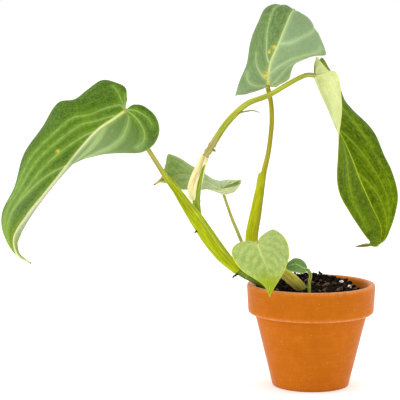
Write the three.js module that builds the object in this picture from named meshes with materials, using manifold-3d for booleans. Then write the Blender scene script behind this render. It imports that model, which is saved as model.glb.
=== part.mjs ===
// A potted philodendron: a young climbing plant with six heart-shaped leaves,
// leaning out over the left side of a small terracotta pot.
// Millimetres, +Z up. The finished group stands on z = 0, centred on its bounding box.

import * as THREE from 'three';
import { ParametricGeometry } from 'three/addons/geometries/ParametricGeometry.js';
import { mergeVertices } from 'three/addons/utils/BufferGeometryUtils.js';
import Module from 'manifold-3d';

const wasm = await Module();
wasm.setup();

// ---- Driving sizes -------------------------------------------------------

const clearance = 0.3; // gap kept between neighbouring pieces

// Terracotta pot
const potHeight = 88;
const footRadius = 32.6;
const bodyTopRadius = 48; // outside of the body, just under the rim band
const rimOverhang = 7; // how far the rim stands out beyond the body
const rimBandHeight = 25.5;
const rimDraft = 1.4; // the band is this much narrower at its lower edge
const rimLowerRounding = 3;
const lipRounding = 2.2;
const footRounding = 1.6;
const wallThickness = 5.5;
const floorThickness = 6;
const drainHoleRadius = 6;
const potSegments = 40;
const rimRadius = bodyTopRadius + rimOverhang;

// Potting mix
const soilDrop = 8; // from the rim down to the mix at the front
const soilBackRise = 5; // the mix is higher at the back
const soilMound = 5; // the middle stands this much above the edge
const soilCrownRise = 7; // the top of the mound above the front edge, at most
const soilShoulder = 0.62; // the mound starts to fall off here, as a share of the inner radius
const soilRiseStart = -0.4; // the rise to the back starts here, as a share of the inner radius
const soilLumpHeight = 0.8;
const coarseLumpPitch = 18;
const fineLumpPitch = 9.4;
const soilSegments = 32;
const soilRings = [1, 0.86, 0.7, 0.52, 0.34, 0.17, 0]; // shares of the inner radius
const grainSink = 0.8; // how deep loose grains sit in the mix

// Stems
const mainStemRadius = 3.4;
const oldStemRadius = 4.7;
const upperStemRadius = 3.3;
const sheathWall = 1.9;
const cataphyllWall = 1.4;

// Leaf blades and stalks
const bladeThickness = 1;
const stalkTipRadius = 1.9; // where the stalks of the large leaves meet their blades
const smallStalkRadius = 1.4;

// ---- Mesh helpers --------------------------------------------------------

// Merge shared corners, drop collapsed triangles and turn the faces outwards.
function closedGeometry(source) {
  source.deleteAttribute('uv');
  source.deleteAttribute('normal');
  const merged = mergeVertices(source, 1e-4);
  const index = merged.getIndex().array;
  const position = merged.getAttribute('position');
  const kept = [];
  for (let i = 0; i < index.length; i += 3) {
    const [a, b, c] = [index[i], index[i + 1], index[i + 2]];
    if (a !== b && b !== c && a !== c) kept.push(a, b, c);
  }
  const corner = (i) => new THREE.Vector3().fromBufferAttribute(position, kept[i]);
  let volume = 0;
  for (let i = 0; i < kept.length; i += 3) {
    volume += corner(i).dot(corner(i + 1).cross(corner(i + 2))) / 6;
  }
  if (volume < 0) kept.reverse();
  merged.setIndex(kept);
  return merged;
}

function toManifold(geometry) {
  const mesh = new wasm.Mesh({
    numProp: 3,
    vertProperties: Float32Array.from(geometry.getAttribute('position').array),
    triVerts: Uint32Array.from(geometry.getIndex().array),
  });
  return new wasm.Manifold(mesh);
}

function fromManifold(solid) {
  const mesh = solid.getMesh();
  const geometry = new THREE.BufferGeometry();
  geometry.setAttribute('position', new THREE.BufferAttribute(mesh.vertProperties, 3));
  geometry.setIndex(new THREE.BufferAttribute(mesh.triVerts, 1));
  return geometry;
}

// Cut a piece back from its neighbours.
function cutBy(geometry, neighbours) {
  let solid = toManifold(geometry);
  for (const neighbour of neighbours) {
    solid = solid.subtract(toManifold(neighbour));
  }
  return fromManifold(solid);
}

function curveThrough(points) {
  return new THREE.CatmullRomCurve3(points.map((p) => new THREE.Vector3(...p)), false, 'centripetal');
}

// A round stalk along a path; radii match the path's points, and grow widens it all round.
function stalk(piece, grow = 0) {
  const path = curveThrough(piece.path);
  const spans = piece.path.length - 1;
  const sides = piece.sides ?? 8;
  const rows = piece.rows ?? spans * 2;
  const depthAxis = new THREE.Vector3(0, 1, 0);
  const point = (around, along, target) => {
    const t = THREE.MathUtils.clamp((along * (rows + 2) - 1) / rows, 0, 1);
    const span = Math.min(Math.floor(t * spans), spans - 1);
    const radius = THREE.MathUtils.lerp(piece.radii[span], piece.radii[span + 1], t * spans - span) + grow;
    const isEnd = along === 0 || along === 1;
    const tangent = path.getTangent(t);
    const across = new THREE.Vector3().crossVectors(tangent, depthAxis).normalize();
    const depth = new THREE.Vector3().crossVectors(across, tangent).normalize();
    const angle = around * 2 * Math.PI;
    target.copy(path.getPoint(t));
    if (t === 0) target.addScaledVector(tangent, -grow);
    if (t === 1) target.addScaledVector(tangent, grow);
    if (isEnd) return;
    target.addScaledVector(across, radius * Math.cos(angle));
    target.addScaledVector(depth, radius * Math.sin(angle));
  };
  return closedGeometry(new ParametricGeometry(point, sides, rows + 2));
}

// ---- Leaf blades ---------------------------------------------------------

// A blade is spread between its midrib and its two margins. The first share of each margin
// is the basal lobe, which fans out from the point where the stalk joins.
const lobeRows = 0.25;

function bladeSurface(leaf) {
  const rib = curveThrough(leaf.rib);
  const tip = leaf.rib[leaf.rib.length - 1];
  const margins = [leaf.left, leaf.right].map((margin) => curveThrough([...margin, tip]));
  return (across, along, target) => {
    const side = across < 0.5 ? 0 : 1;
    const reach = Math.abs(2 * across - 1);
    const inLobe = Math.min(along / lobeRows, 1);
    const beyondLobe = Math.max(0, (along - lobeRows) / (1 - lobeRows));
    const lobe = leaf.lobes[side];
    const marginShare = Math.min(lobe * inLobe + (1 - lobe) * beyondLobe, 1);
    const root = rib.getPointAt(beyondLobe);
    const edge = margins[side].getPointAt(marginShare);
    const forward = margins[side].getTangentAt(marginShare);
    const chord = new THREE.Vector3().subVectors(edge, root);
    const up = new THREE.Vector3().crossVectors(forward, chord).normalize();
    if (side === 1) up.negate();
    const bulge = leaf.camber[side] * chord.length() * 4 * reach * (1 - reach);
    target.copy(root).addScaledVector(chord, reach).addScaledVector(up, bulge);
  };
}

// Give an open sheet a thickness: a front and a back sheet joined along the margin.
function thicken(sheet, thickness) {
  const merged = closedGeometry(sheet);
  merged.computeVertexNormals();
  const position = merged.getAttribute('position');
  const normal = merged.getAttribute('normal');
  const count = position.count;
  const index = Array.from(merged.getIndex().array);
  const points = [];
  for (const side of [0.5, -0.5]) {
    for (let i = 0; i < count; i++) {
      const point = new THREE.Vector3().fromBufferAttribute(position, i);
      const away = new THREE.Vector3().fromBufferAttribute(normal, i);
      points.push(...point.addScaledVector(away, side * thickness).toArray());
    }
  }
  const edges = new Set();
  for (let i = 0; i < index.length; i += 3) {
    for (let j = 0; j < 3; j++) {
      edges.add(`${index[i + j]} ${index[i + ((j + 1) % 3)]}`);
    }
  }
  const triangles = [...index];
  for (let i = 0; i < index.length; i += 3) {
    triangles.push(index[i] + count, index[i + 2] + count, index[i + 1] + count);
  }
  for (const edge of edges) {
    const [a, b] = edge.split(' ').map(Number);
    if (edges.has(`${b} ${a}`)) continue;
    triangles.push(a, a + count, b + count, a, b + count, b);
  }
  const solid = new THREE.BufferGeometry();
  solid.setAttribute('position', new THREE.Float32BufferAttribute(points, 3));
  solid.setIndex(triangles);
  return closedGeometry(solid);
}

function blade(leaf) {
  const sheet = new ParametricGeometry(bladeSurface(leaf), 2 * leaf.columns, leaf.rows);
  return thicken(sheet, bladeThickness);
}

// ---- Pot and potting mix -------------------------------------------------

const rimUnderside = potHeight - rimBandHeight;
const innerTopRadius = rimRadius - wallThickness;
const innerFloorRadius = footRadius - wallThickness;

function innerRadiusAt(height) {
  const share = (height - floorThickness) / (potHeight - floorThickness);
  return THREE.MathUtils.lerp(innerFloorRadius, innerTopRadius, share);
}

function potGeometry() {
  const bandLowRadius = rimRadius - rimDraft;
  const profile = new THREE.Path();
  profile.moveTo(drainHoleRadius, 0);
  profile.lineTo(footRadius - footRounding, 0);
  profile.absarc(footRadius - footRounding, footRounding, footRounding, -Math.PI / 2, 0);
  profile.lineTo(bodyTopRadius, rimUnderside);
  profile.lineTo(bandLowRadius - rimLowerRounding, rimUnderside);
  profile.absarc(
    bandLowRadius - rimLowerRounding, rimUnderside + rimLowerRounding, rimLowerRounding, -Math.PI / 2, 0,
  );
  profile.lineTo(rimRadius, potHeight - lipRounding);
  profile.absarc(rimRadius - lipRounding, potHeight - lipRounding, lipRounding, 0, Math.PI / 2);
  profile.absarc(innerTopRadius + lipRounding, potHeight - lipRounding, lipRounding, Math.PI / 2, Math.PI);
  profile.lineTo(innerFloorRadius, floorThickness);
  profile.lineTo(drainHoleRadius, floorThickness);
  profile.lineTo(drainHoleRadius, 0);
  return standUp(new THREE.LatheGeometry(profile.getPoints(2), potSegments));
}

// LatheGeometry turns about Y; the pot stands along Z.
function standUp(geometry) {
  geometry.rotateX(Math.PI / 2);
  return closedGeometry(geometry);
}

// Height of the top of the potting mix above the foot of the pot.
function soilHeight(x, y) {
  const reach = Math.min(Math.hypot(x, y) / innerTopRadius, 1);
  const rise = soilBackRise * THREE.MathUtils.smoothstep(y / innerTopRadius, soilRiseStart, 1);
  const mound = Math.min(soilMound, soilCrownRise - rise);
  const shoulder = 1 - THREE.MathUtils.smoothstep(reach, soilShoulder, 1);
  const coarse = (2 * Math.PI) / coarseLumpPitch;
  const fine = (2 * Math.PI) / fineLumpPitch;
  const lumps = Math.sin(x * coarse + 1) * Math.cos(y * coarse) + Math.sin((x - y) * fine) / 2;
  return potHeight - soilDrop + rise + shoulder * (mound + soilLumpHeight * lumps);
}

function soilGeometry(neighbours) {
  const bottom = floorThickness + clearance;
  const profile = [new THREE.Vector2(0, 0), new THREE.Vector2(1, 0)];
  soilRings.forEach((ring) => profile.push(new THREE.Vector2(ring, 2 - ring)));
  const geometry = new THREE.LatheGeometry(profile, soilSegments);
  geometry.rotateX(Math.PI / 2);
  const position = geometry.getAttribute('position');
  for (let i = 0; i < position.count; i++) {
    const [x, y, level] = [position.getX(i), position.getY(i), position.getZ(i)];
    if (level < 0.5) {
      const reach = innerRadiusAt(bottom) - clearance;
      position.setXYZ(i, x * reach, y * reach, bottom);
      continue;
    }
    // the edge follows the slope of the pot's wall
    const [edgeX, edgeY] = [x * innerTopRadius, y * innerTopRadius];
    const height = soilHeight(edgeX, edgeY);
    const reach = innerRadiusAt(height) - 2 * clearance;
    position.setXYZ(i, x * reach, y * reach, height);
  }
  return cutBy(closedGeometry(geometry), neighbours);
}

// A rounded crumb of perlite or bark lying in the top of the mix. Its place is given in
// shares of the pot's inner radius.
function grainGeometry(grain, grow = 0) {
  const [x, y] = [grain.right * innerTopRadius, grain.back * innerTopRadius];
  const geometry = new THREE.IcosahedronGeometry(1, 1);
  const half = grain.size.map((side) => side / 2 + grow);
  geometry.scale(...half);
  geometry.rotateZ(grain.turn);
  geometry.translate(x, y, soilHeight(x, y) + grain.size[2] / 2 - grainSink);
  return closedGeometry(geometry);
}

// ---- The shoot: its points are measured from the left edge of the pot's rim ----

const shootOrigin = [-rimRadius, 0, potHeight];
const fromRim = (points) => points.map((p) => p.map((value, axis) => value + shootOrigin[axis]));

// The lower internode rises from the mix and leans out over the rim.
const mainStem = {
  path: fromRim([[34, -5, -18], [24, -6, -9], [13, -8, 0.6], [4, -9, 5.6], [-3, -9, 9.5], [-9, -8, 13.5]]),
  radii: [1, 1, 1, 1, 1, 1].map((share) => share * mainStemRadius),
  sides: 12,
};

// The thick, pale older stem lies on the mix and carries the upright leaf.
const oldStem = {
  path: fromRim([[6, -14, 20], [17, -16, 18.5], [28, -18, 13.5], [37, -20, 7], [46, -22, -2], [53, -23, -12]]),
  radii: [0.9, 1, 1, 1.05, 1, 0.9].map((share) => share * oldStemRadius),
  sides: 12,
};

// The next internode starts inside the leaf sheath and comes out of it upright.
const upperStem = {
  path: fromRim([
    [-9.3, -8, 14], [-21, -9, 25.5], [-33, -10, 41], [-40.5, -6, 54],
    [-43, -2, 67], [-42.5, -1, 78], [-40, -1, 93], [-36.4, -2, 107.5],
  ]),
  radii: [0.9, 1, 1, 1, 1, 0.95, 0.8, 0.7].map((share) => share * upperStemRadius),
  sides: 10,
};

// A papery bract wrapped round the upright internode.
const cataphyll = {
  path: fromRim([[-44, -2, 73], [-43.6, -1.8, 80], [-41.8, -1.6, 89], [-39.4, -1.6, 98], [-36.8, -2, 106]]),
  radii: [1.4, 1.7, 1.5, 1.1, 0.8].map((bulge) => upperStemRadius + bulge * cataphyllWall),
  sides: 12,
};

// Leaf stalks, each from its base to just behind its blade.
const stalks = {
  petiole_left: {
    path: fromRim([
      [-8.6, -8, 13], [-21, -9, 25], [-33, -11, 41], [-43, -12, 56], [-52, -13, 69], [-60, -14, 81],
      [-69, -15, 93], [-76, -15, 104], [-83, -15, 115], [-93, -16, 133], [-102, -19.2, 148.5],
    ]),
    radii: [
      ...[0.6, 1, 1.2, 1].map((share) => upperStemRadius + clearance + share * sheathWall),
      4.4, 3.1, 2.4, 2.1, 2, stalkTipRadius, stalkTipRadius,
    ],
    sides: 12,
  },
  petiole_top: {
    path: fromRim([
      [6, -14, 22], [4, -12, 31], [4, -10, 43], [7, -8, 60], [10, -6, 76], [14, -3, 95],
      [18, 0, 112], [20, 2, 127], [21, 4, 139], [20, 5, 155], [17.4, 5.2, 168.5],
    ]),
    radii: [4.8, 5.4, 5.4, 5, 4.2, 2.6, 2.1, 2, 2, stalkTipRadius, stalkTipRadius],
    sides: 12,
  },
  petiole_right: {
    path: fromRim([
      [-36.2, -2, 108.3], [-29, -5, 120], [-21, -8, 133], [-12, -9, 144], [0, -9, 154], [18, -7, 161],
      [32, -5, 169], [43, -3, 175], [50, -1, 177.6], [55.6, 0, 177.4],
    ]),
    radii: [2.2, 2.2, 2.4, 2.5, 2.5, 2.3, 2.1, 2, stalkTipRadius, stalkTipRadius],
  },
  petiole_front: {
    path: fromRim([[10, -17, 20], [10, -26, 27], [9, -35, 34], [7.2, -42.7, 40.3]]),
    radii: [1.2, 1, 1, 1].map((share) => share * smallStalkRadius),
  },
  petiole_rear: {
    path: fromRim([
      [1, -8, 7], [0, -6, 19], [-3, 0, 31], [-8, 4, 44], [-12, 9, 53], [-16, 14, 64], [-20.5, 18.9, 76.4],
    ]),
    radii: [1.2, 1.1, 1, 1, 1, 1, 1].map((share) => share * smallStalkRadius),
  },
};

// Blades. In each, left and right are as seen on the upper face, from the stalk to the tip.
const leaves = {
  leaf_left: {
    rib: [
      [-102, -22, 149], [-112, -25, 142], [-124, -27, 134], [-140, -30, 118], [-158, -34, 97],
      [-172, -37, 81], [-185, -40, 65], [-195, -43, 45], [-190, -46, 30], [-179, -48, 24],
    ],
    left: [
      [-95, -24, 154], [-86, -28, 153], [-77, -30, 145], [-74, -28, 132], [-78, -23, 121],
      [-88, -18, 114], [-104, -14, 112], [-124, -10, 111], [-140, -4, 107], [-158, 6, 95],
      [-172, 10, 79], [-183, 4, 62], [-192, -14, 45], [-192, -34, 33],
    ],
    right: [
      [-100, -20, 158], [-103, -14, 168], [-112, -8, 172], [-123, -6, 173], [-135, -8, 166],
      [-145, -13, 158], [-158, -8, 155], [-173, -8, 135], [-187, -10, 113], [-197, -16, 84],
      [-205, -24, 63], [-204, -34, 47], [-195, -42, 33],
    ],
    lobes: [0.22, 0.17],
    camber: [0.05, 0.1],
    columns: 6,
    rows: 22,
  },
  leaf_top: {
    rib: [
      [17, 2, 168], [19, -3, 187], [25, -7, 202], [31, -7, 217], [37, 0, 230],
      [42, 14, 231], [45, 28, 220], [44, 38, 205], [40, 42, 187],
    ],
    left: [
      [10, 4, 167], [-1, 8, 164], [-10, 10, 160], [-8, 12, 166], [-2, 16, 183], [3, 18, 202],
      [8, 20, 220], [16, 24, 233], [25, 34, 234], [33, 42, 220], [37, 46, 203],
    ],
    right: [
      [25, 8, 168], [32, 10, 171], [36, 9, 176], [41, 2, 187], [51, -8, 193], [65, -14, 195],
      [62, -4, 205], [58, 12, 215], [53, 26, 212], [48, 38, 198],
    ],
    lobes: [0.2, 0.12],
    camber: [0.08, 0.08],
    columns: 6,
    rows: 22,
  },
  leaf_right: {
    rib: [
      [57, 0, 177], [63, 4, 163], [71, 8, 146], [77, 9, 132], [83, 7, 120], [89, 4, 107],
      [97, -2, 86], [106, -6, 66], [114, -6, 47], [111, -2, 32], [102, -4, 34], [92, -7, 32],
    ],
    left: [
      [59, 5, 185], [63, 12, 192], [71, 22, 183], [79, 30, 169], [86, 34, 154], [94, 34, 145],
      [104, 30, 135], [112, 24, 124], [118, 14, 109], [124, 4, 94], [128, -4, 76], [126, -8, 63],
      [122, -8, 49], [116, -4, 36], [104, -3, 32],
    ],
    right: [
      [57, -1, 184], [58, -2, 193], [67, -12, 182], [73, -20, 181], [76, -25, 174], [77, -28, 158],
      [77, -28, 141], [76, -24, 126], [75, -18, 110], [75, -16, 93], [78, -16, 77], [86, -17, 62],
      [98, -14, 45], [104, -9, 36], [99, -6, 34],
    ],
    lobes: [0.2, 0.17],
    camber: [0.06, 0],
    columns: 6,
    rows: 24,
  },
  leaf_front: {
    rib: [[7, -44, 41], [10, -49, 32], [14, -53, 23], [17, -56, 12], [17, -60, -2]],
    left: [
      [11, -40, 46], [16, -38, 49], [21, -37, 51], [28, -38, 47], [33, -40, 39],
      [34, -43, 30], [31, -47, 21], [26, -52, 12], [21, -57, 5],
    ],
    right: [
      [1, -42, 41], [-6, -40, 41], [-12, -40, 37], [-14, -43, 32], [-11, -46, 25],
      [-5, -49, 18], [5, -53, 12], [13, -57, 6],
    ],
    lobes: [0.33, 0.28],
    camber: [0.08, 0.08],
    columns: 4,
    rows: 14,
  },
  leaf_rear: {
    rib: [[-21, 20, 78], [-32, 22, 84], [-43, 25, 88], [-54, 25, 91], [-66, 22, 89], [-80, 16, 83]],
    left: [
      [-14, 13, 83.5], [-8, 8, 87], [-4, 5, 89], [-7, 0, 85], [-13, -4, 82.5], [-21, -5, 81.5],
      [-33, 0, 80.5], [-43, 11, 79], [-54, 13, 79], [-64, 14, 82], [-73, 15, 85],
    ],
    right: [
      [-17, 24, 83], [-7, 30, 85], [-12, 40, 85], [-24, 50, 83], [-35, 52, 86], [-45, 48, 95],
      [-54, 42, 101], [-63, 36, 107], [-68, 30, 108], [-70, 25, 100], [-73, 20, 90],
    ],
    lobes: [0.3, 0.3],
    camber: [-0.1, 0.08],
    columns: 4,
    rows: 14,
  },
};

// ---- The young leaf: its points are measured from the front edge of the mix ----

const youngOrigin = [0, -innerTopRadius, potHeight - soilDrop];
const fromFront = (points) => points.map((p) => p.map((value, axis) => value + youngOrigin[axis]));

stalks.petiole_young = {
  path: fromFront([[-4, 11, -6], [-4, 11, 7], [-4, 11.5, 14], [-3, 12.5, 21], [-3.6, 13.6, 24.6]]),
  radii: [0.9, 0.9, 0.8, 1.1, 1.2].map((share) => share * smallStalkRadius),
};

leaves.leaf_young = {
  rib: fromFront([[-6, 13.6, 25], [-10, 12.5, 27], [-16, 11.5, 30], [-20, 10.5, 29], [-24, 9.5, 27]]),
  left: fromFront([[-6, 10.5, 24], [-10, 6.5, 23], [-16, 5.5, 24], [-21, 7.5, 25]]),
  right: fromFront([[-6, 17.5, 28], [-9, 19.5, 32], [-15, 19.5, 34], [-20, 16.5, 32], [-23, 12.5, 30]]),
  lobes: [0.12, 0.12],
  camber: [0.05, 0.05],
  columns: 3,
  rows: 10,
};

// ---- Materials -----------------------------------------------------------

function finish(colour, roughness) {
  return new THREE.MeshStandardMaterial({ color: colour, roughness, metalness: 0 });
}

const finishes = {
  terracotta: () => finish(0xd0701f, 0.85),
  mix: () => finish(0x2b1c14, 0.95),
  perlite: () => finish(0xe6e2d8, 0.9),
  bark: () => finish(0x5a3a24, 0.9),
  blade: () => finish(0x4f8236, 0.5),
  youngBlade: () => finish(0x86ab5e, 0.5),
  stalk: () => finish(0xa3a63a, 0.45),
  stem: () => finish(0x4f6b2a, 0.5),
  paleStem: () => finish(0xa9b06a, 0.55),
  bract: () => finish(0xe3d3a0, 0.6),
  dryTip: () => finish(0x6b5334, 0.8),
};

// ---- Assembly ------------------------------------------------------------

const plant = new THREE.Group();

function add(name, geometry, material) {
  const mesh = new THREE.Mesh(geometry, material);
  mesh.name = name;
  plant.add(mesh);
}

// Loose grains on the mix: perlite towards the right, bark in the open middle and back.
const grains = {
  perlite_1: { right: 0.53, back: 0.12, size: [4, 3.2, 3], turn: 0.4 },
  perlite_2: { right: 0.65, back: -0.16, size: [3.4, 3, 2.6], turn: 1.3 },
  perlite_3: { right: 0.75, back: -0.34, size: [3.6, 2.8, 2.6], turn: 2.2 },
  perlite_4: { right: 0.28, back: 0.48, size: [3, 2.8, 2.4], turn: 0.9 },
  perlite_5: { right: -0.36, back: 0.61, size: [3.8, 3, 2.8], turn: 1.9 },
  bark_1: { right: 0.24, back: -0.04, size: [9, 4.5, 3], turn: 0.5 },
  bark_2: { right: 0.44, back: -0.44, size: [8, 4, 3], turn: -0.7 },
  bark_3: { right: -0.04, back: 0.28, size: [9, 5, 3.2], turn: 2.5 },
  bark_4: { right: 0.57, back: 0.44, size: [7, 4.5, 3], turn: 1.1 },
  bark_5: { right: -0.57, back: 0.28, size: [8, 4, 3], turn: 0.2 },
};

function addPotAndMix() {
  add('pot', potGeometry(), finishes.terracotta());
  const buried = [
    stalk(mainStem, clearance),
    stalk(oldStem, clearance),
    stalk(stalks.petiole_young, clearance),
    ...Object.values(grains).map((grain) => grainGeometry(grain, clearance)),
  ];
  add('potting_mix', soilGeometry(buried), finishes.mix());
  for (const [name, grain] of Object.entries(grains)) {
    const material = name.startsWith('perlite') ? finishes.perlite() : finishes.bark();
    add(name, grainGeometry(grain), material);
  }
}

function addStems() {
  add('stem_lower', stalk(mainStem), finishes.stem());
  add('stem_old', stalk(oldStem), finishes.paleStem());
  add('stem_upper', cutBy(stalk(upperStem), [stalk(mainStem, clearance)]), finishes.stem());
  add('cataphyll', cutBy(stalk(cataphyll), [stalk(upperStem, clearance)]), finishes.bract());
}

// The bases of the stalks are cut back from the stems that carry them.
function addStalks() {
  const seats = {
    petiole_left: [mainStem, upperStem],
    petiole_top: [oldStem],
    petiole_right: [],
    petiole_front: [oldStem, stalks.petiole_top],
    petiole_rear: [mainStem],
    petiole_young: [],
  };
  for (const [name, carriers] of Object.entries(seats)) {
    const grown = carriers.map((carrier) => stalk(carrier, clearance));
    add(name, cutBy(stalk(stalks[name]), grown), finishes.stalk());
  }
}

function addBlades() {
  for (const [name, leaf] of Object.entries(leaves)) {
    const shifted = name === 'leaf_young' ? leaf : {
      ...leaf,
      rib: fromRim(leaf.rib),
      left: fromRim(leaf.left),
      right: fromRim(leaf.right),
    };
    const material = name === 'leaf_front' ? finishes.youngBlade() : finishes.blade();
    add(name, blade(shifted), material);
  }
}

// Small dry pieces: a withered sheath tip, a leaf scar's spur and two short aerial roots.
function addDryPieces() {
  const pieces = {
    withered_tip: {
      path: fromRim([[-15, -9, 141], [-8, -10.5, 145.6], [-1, -10, 147.6], [5, -9, 148], [10, -8.5, 146.5]]),
      radii: [0.9, 0.7, 0.6, 0.5, 0.4],
      sides: 6,
      seat: stalks.petiole_right,
    },
    scar_spur: {
      path: fromRim([[-32, -4, 116], [-28.6, -5, 114.4], [-26.6, -5.4, 113.6]]),
      radii: [1.4, 1.2, 0.4],
      sides: 6,
      seat: stalks.petiole_right,
    },
    aerial_root_upper: {
      path: fromRim([[-39, -13.5, 49], [-43, -15, 46.6], [-44.6, -15.6, 45.2]]),
      radii: [0.8, 0.7, 0.4],
      sides: 6,
      seat: stalks.petiole_left,
    },
    aerial_root_lower: {
      path: fromRim([[-7, -9.6, 10], [-10.6, -11, 8], [-12.4, -11.6, 6.6]]),
      radii: [1, 0.8, 0.5],
      sides: 6,
      seat: mainStem,
    },
  };
  for (const [name, piece] of Object.entries(pieces)) {
    add(name, cutBy(stalk(piece), [stalk(piece.seat, clearance)]), finishes.dryTip());
  }
}

addPotAndMix();
addStems();
addStalks();
addBlades();
addDryPieces();

// Stand the plant on z = 0 with the middle of its bounding box over the origin.
const bounds = new THREE.Box3().setFromObject(plant);
const middle = bounds.getCenter(new THREE.Vector3());
plant.position.set(-middle.x, -middle.y, -bounds.min.z);

export default plant;
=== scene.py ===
import math

import bmesh
import bpy
import numpy as np
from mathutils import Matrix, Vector, kdtree, noise


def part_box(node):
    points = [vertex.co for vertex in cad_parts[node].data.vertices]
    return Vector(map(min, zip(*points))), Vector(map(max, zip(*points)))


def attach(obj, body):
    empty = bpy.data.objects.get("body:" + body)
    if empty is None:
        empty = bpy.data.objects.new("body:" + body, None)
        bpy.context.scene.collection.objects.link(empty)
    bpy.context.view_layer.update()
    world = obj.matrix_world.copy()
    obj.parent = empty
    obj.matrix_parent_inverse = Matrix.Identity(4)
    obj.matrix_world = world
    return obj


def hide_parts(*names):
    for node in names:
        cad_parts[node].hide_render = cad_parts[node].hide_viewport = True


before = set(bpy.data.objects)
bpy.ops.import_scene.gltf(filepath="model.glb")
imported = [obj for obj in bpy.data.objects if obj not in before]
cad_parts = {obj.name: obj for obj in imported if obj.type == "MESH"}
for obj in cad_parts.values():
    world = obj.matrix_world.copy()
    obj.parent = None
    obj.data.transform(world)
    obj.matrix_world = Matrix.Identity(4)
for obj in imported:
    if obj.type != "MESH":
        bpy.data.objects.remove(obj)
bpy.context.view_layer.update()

MM = 0.001


# ---- Pot ----
# A small pressed terracotta pot: a tapered body, a deep rim band with a
# rounded lip, and a foot with one drain hole. The clay is bare and fired
# once, so it is matte, a little blotchy, and dusted with pale specks.

pot_low, pot_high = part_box("pot")
pot_x = (pot_low.x + pot_high.x) / 2
pot_y = (pot_low.y + pot_high.y) / 2
pot_height = (pot_high.z - pot_low.z) / MM
rim_radius = (pot_high.x - pot_low.x) / 2 / MM
wall = 5.5
inner_radius = rim_radius - wall
foot_radius = 32.6
body_radius = 48
drain_radius = 6
floor_level = 6
band_level = 62.5
pot_corners = [  # radius, height, rounding
    (drain_radius, 0, 0.8), (foot_radius, 0, 1.6), (body_radius, band_level, 1.2),
    (rim_radius - 1.4, band_level, 3.4), (rim_radius, pot_height, 2.4), (inner_radius, pot_height, 2.4),
    (foot_radius - wall, floor_level, 3), (drain_radius, floor_level, 0.8),
]
pot_sides = 168
throwing_wobble = 0.16


def rounded_outline(corners, step, bends=6):
    """Points along a closed outline, with each corner rounded and long runs split."""
    points = []
    count = len(corners)
    for i, (radius, height, rounding) in enumerate(corners):
        corner = np.array([radius, height], float)
        before = np.array(corners[i - 1][:2], float) - corner
        after = np.array(corners[(i + 1) % count][:2], float) - corner
        start = corner + before / np.linalg.norm(before) * rounding
        end = corner + after / np.linalg.norm(after) * rounding
        for share in np.linspace(0, 1, bends):
            near = start + (corner - start) * share
            far = corner + (end - corner) * share
            points.append(near + (far - near) * share)
    outline = []
    for i, point in enumerate(points):
        following = points[(i + 1) % len(points)]
        pieces = max(1, math.ceil(np.linalg.norm(following - point) / step))
        outline += [point + (following - point) * k / pieces for k in range(pieces)]
    return np.array(outline)


def round_angles(sides):
    return np.arange(sides) * 2 * math.pi / sides


def shell_faces(rows, sides, wrap_rows=False):
    """Quads of a grid of rows that is closed round its sides, and over its rows or with two end caps."""
    row, side = np.meshgrid(np.arange(rows if wrap_rows else rows - 1), np.arange(sides), indexing="ij")
    row, side = row.ravel(), side.ravel()
    after, beside = (row + 1) % rows, (side + 1) % sides
    corners = [row * sides + side, row * sides + beside, after * sides + beside, after * sides + side]
    faces = [tuple(face) for face in np.stack(corners, axis=1).tolist()]
    if not wrap_rows:
        last = (rows - 1) * sides
        faces += [tuple(range(sides - 1, -1, -1)), tuple(range(last, last + sides))]
    return faces


def show(name, data):
    holder = bpy.data.objects.new(name, data)
    bpy.context.scene.collection.objects.link(holder)
    return holder


def make_piece(name, points, faces, finishes, marks=None, finish_of=None):
    """A smooth mesh object from points in metres, with marks painted on its points."""
    mesh = bpy.data.meshes.new(name)
    mesh.from_pydata([tuple(p) for p in points], [], faces)
    mesh.shade_smooth()
    for finish in finishes:
        mesh.materials.append(finish)
    if finish_of is not None:
        mesh.polygons.foreach_set("material_index", np.asarray(finish_of, np.int32))
    for mark, values in (marks or {}).items():
        values = np.asarray(values, np.float32)
        kind, field = ("FLOAT", "value") if values.ndim == 1 else ("FLOAT_VECTOR", "vector")
        mesh.attributes.new(mark, kind, "POINT").data.foreach_set(field, values.ravel())
    mesh.validate()
    mesh.update()
    return show(name, mesh)


def settle(piece, slot, *nodes):
    """The piece stands for its CAD nodes, and stays with the plant's one body."""
    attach(piece, "root")
    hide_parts(*nodes)


def paint(red, green, blue):
    """A colour as it looks on the surface, in 0 to 255, made ready for the shader."""
    shares = [value / 255 for value in (red, green, blue)]
    linear = [s / 12.92 if s <= 0.04045 else ((s + 0.055) / 1.055) ** 2.4 for s in shares]
    return (*linear, 1)


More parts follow.
